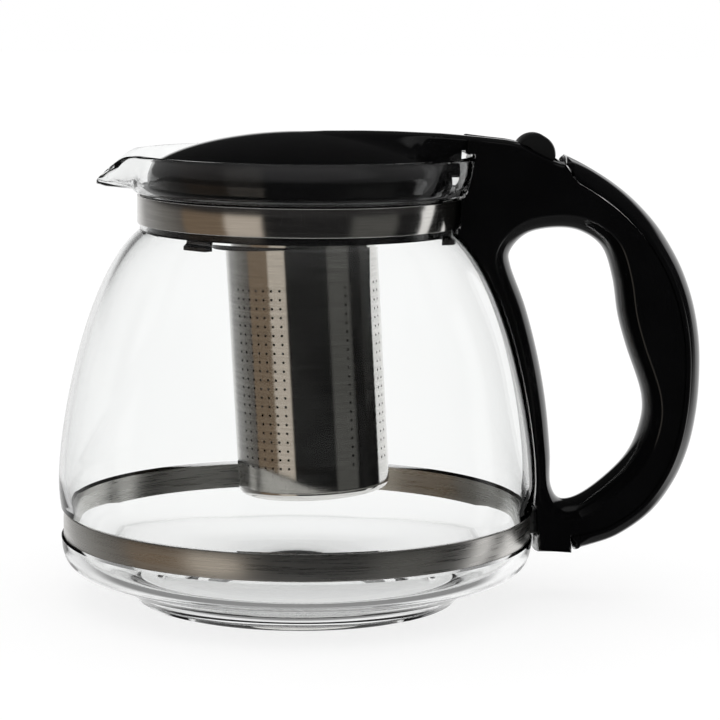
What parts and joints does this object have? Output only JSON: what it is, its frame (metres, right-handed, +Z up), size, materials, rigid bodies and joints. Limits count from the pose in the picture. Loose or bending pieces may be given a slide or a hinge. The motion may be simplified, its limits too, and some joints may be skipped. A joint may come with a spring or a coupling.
{
  "type": "teapot",
  "caption": "Glass teapot with steel bands, a black handle, a thumb-operated hinged lid and a perforated steel infuser hanging in the neck.",
  "frame": {"origin": "centre of the foot, on the surface the pot stands on", "axes": "+X from the pot's axis towards the handle, with the pouring lip along -X; +Z up; +Y to the left of the handle as seen from the lip, completing a right-handed frame"},
  "size_m": [0.2078, 0.155, 0.1517],
  "materials": {
    "glass": "clear borosilicate glass",
    "band_steel": "fine brushed along the strap",
    "fixing_steel": "plain steel",
    "infuser_steel": "polished, lightly brushed",
    "black_gloss": "high-gloss black moulding",
    "black_plain": "satin black moulding",
    "black_matte": "fine matte texture"
  },
  "bodies": {
    "teapot": {"glass_body": "glass", "neck_band": "band_steel", "neck_band_nut": "fixing_steel", "neck_band_washer": "fixing_steel", "neck_band_screw": "fixing_steel", "base_band": "band_steel", "base_band_nut": "fixing_steel", "base_band_washer": "fixing_steel", "base_band_screw": "fixing_steel", "handle_frame": "black_gloss", "handle_back": "black_gloss", "hinge_pin": "fixing_steel"},
    "lid": {"lid_cover": "black_gloss", "lid_liner": "black_plain", "lid_screws": "fixing_steel", "thumb_pad": "black_matte"},
    "infuser": {"infuser_collar": "black_plain", "infuser_clamp_ring": "black_plain", "infuser_tube": "infuser_steel", "infuser_base": "infuser_steel"}
  },
  "joints": [
    {"name": "lid_hinge", "type": "hinge", "parent": "teapot", "child": "lid", "pos_m": [0.0705, 0, 0.1435], "axis": [0, 1, 0], "range_deg": [0, 80]},
    {"name": "infuser_turn", "type": "hinge", "parent": "teapot", "child": "infuser", "pos_m": [0, 0, 0.125], "axis": [0, 0, 1], "continuous": true}
  ]
}
